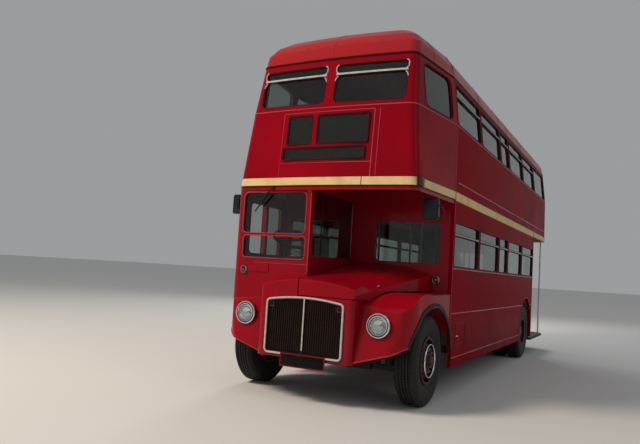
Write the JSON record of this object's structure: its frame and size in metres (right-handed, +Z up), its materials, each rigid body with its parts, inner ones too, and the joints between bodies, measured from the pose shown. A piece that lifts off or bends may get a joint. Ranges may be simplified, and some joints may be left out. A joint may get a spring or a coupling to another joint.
{
  "type": "double decker bus",
  "caption": "Open-platform double decker bus with a half cab beside a front engine, a rear staircase and turning, steering wheels.",
  "frame": {"origin": "on the road, under the middle of the body", "axes": "+Z up, -Y towards the front of the bus, +X to the nearside (kerb side)"},
  "size_m": [2.608, 9.144, 4.38],
  "materials": {
    "bodywork": "deep gloss red coach enamel",
    "upper_paint": "deep gloss red coach enamel with a cream band",
    "roof_paint": "gloss red enamel",
    "interior_panel": "semi-gloss interior enamel",
    "floor": "slatted wood and lino floor",
    "grille": "dulled bright metal",
    "lamp_metal": "chrome rings with glass lenses",
    "blind": "dark roller blinds behind glass",
    "glass": "clear safety glass",
    "seat_frame": "enamelled panel and tube",
    "moquette": "woven moquette",
    "black_metal": "black chassis paint",
    "iron": "oily grey castings",
    "pole": "white enamelled tube",
    "mirror_shell": "black mirror heads and arms",
    "rim": "enamelled pressed steel wheel",
    "tyre": "worn black rubber",
    "hand_wheel": "black moulded rim on a steel column"
  },
  "bodies": {
    "bus": {"cab_floor_and_side": "interior_panel", "cab_front": "bodywork", "cab_off_side": "bodywork", "display_boxes": "blind", "engine_block": "iron", "front_axle": "black_metal", "front_bulkhead": "interior_panel", "front_cowl": "bodywork", "front_wings": "bodywork", "fuel_tank": "black_metal", "grab_poles": "pole", "lamps": "lamp_metal", "lower_floor": "floor", "lower_rear_wall": "bodywork", "lower_side_near": "bodywork", "lower_side_off": "bodywork", "mirrors": "mirror_shell", "radiator_grille": "grille", "rear_axle": "black_metal", "rear_bulkhead": "interior_panel", "rear_platform": "floor", "roof": "roof_paint", "seat_frames": "seat_frame", "seat_pads": "moquette", "staircase": "interior_panel", "steering_column": "hand_wheel", "subframes": "black_metal", "upper_floor": "floor", "upper_front": "upper_paint", "upper_rear": "upper_paint", "upper_side_near": "upper_paint", "upper_side_off": "upper_paint", "window_glass": "glass"},
    "knuckle_near": {"knuckle_near": "black_metal"},
    "knuckle_off": {"knuckle_off": "black_metal"},
    "front_wheel_near": {"front_rim_near": "rim", "front_tyre_near": "tyre"},
    "front_wheel_off": {"front_rim_off": "rim", "front_tyre_off": "tyre"},
    "rear_wheels_near": {"rear_rims_near": "rim", "rear_tyres_near": "tyre"},
    "rear_wheels_off": {"rear_rims_off": "rim", "rear_tyres_off": "tyre"},
    "bonnet": {"bonnet": "bodywork"},
    "cab_door": {"cab_door": "bodywork"}
  },
  "joints": [
    {"name": "steer_near", "type": "hinge", "parent": "bus", "child": "knuckle_near", "pos_m": [0.88, -3.677, 0.505], "axis": [0, 0, 1], "range_deg": [-35, 35]},
    {"name": "steer_off", "type": "hinge", "parent": "bus", "child": "knuckle_off", "pos_m": [-0.88, -3.677, 0.505], "axis": [0, 0, 1], "range_deg": [-35, 35]},
    {"name": "front_wheel_near_spin", "type": "hinge", "parent": "knuckle_near", "child": "front_wheel_near", "pos_m": [1.03, -3.677, 0.505], "axis": [1, 0, 0], "continuous": true},
    {"name": "front_wheel_off_spin", "type": "hinge", "parent": "knuckle_off", "child": "front_wheel_off", "pos_m": [-1.03, -3.677, 0.505], "axis": [1, 0, 0], "continuous": true},
    {"name": "rear_wheels_near_spin", "type": "hinge", "parent": "bus", "child": "rear_wheels_near", "pos_m": [1.062, 2.165, 0.505], "axis": [1, 0, 0], "continuous": true},
    {"name": "rear_wheels_off_spin", "type": "hinge", "parent": "bus", "child": "rear_wheels_off", "pos_m": [-1.062, 2.165, 0.505], "axis": [1, 0, 0], "continuous": true},
    {"name": "bonnet_hinge", "type": "hinge", "parent": "bus", "child": "bonnet", "pos_m": [-0.0917, -3.8485, 1.44256], "axis": [0, -0.9849, -0.1731], "range_deg": [0, 45]},
    {"name": "cab_door_slide", "type": "slide", "parent": "bus", "child": "cab_door", "axis": [-0.0662, 0.9978, 0], "range_m": [0, 0.47]}
  ],
  "couplings": [
    {"joint": "steer_off", "follows": "steer_near", "ratio": 1}
  ]
}
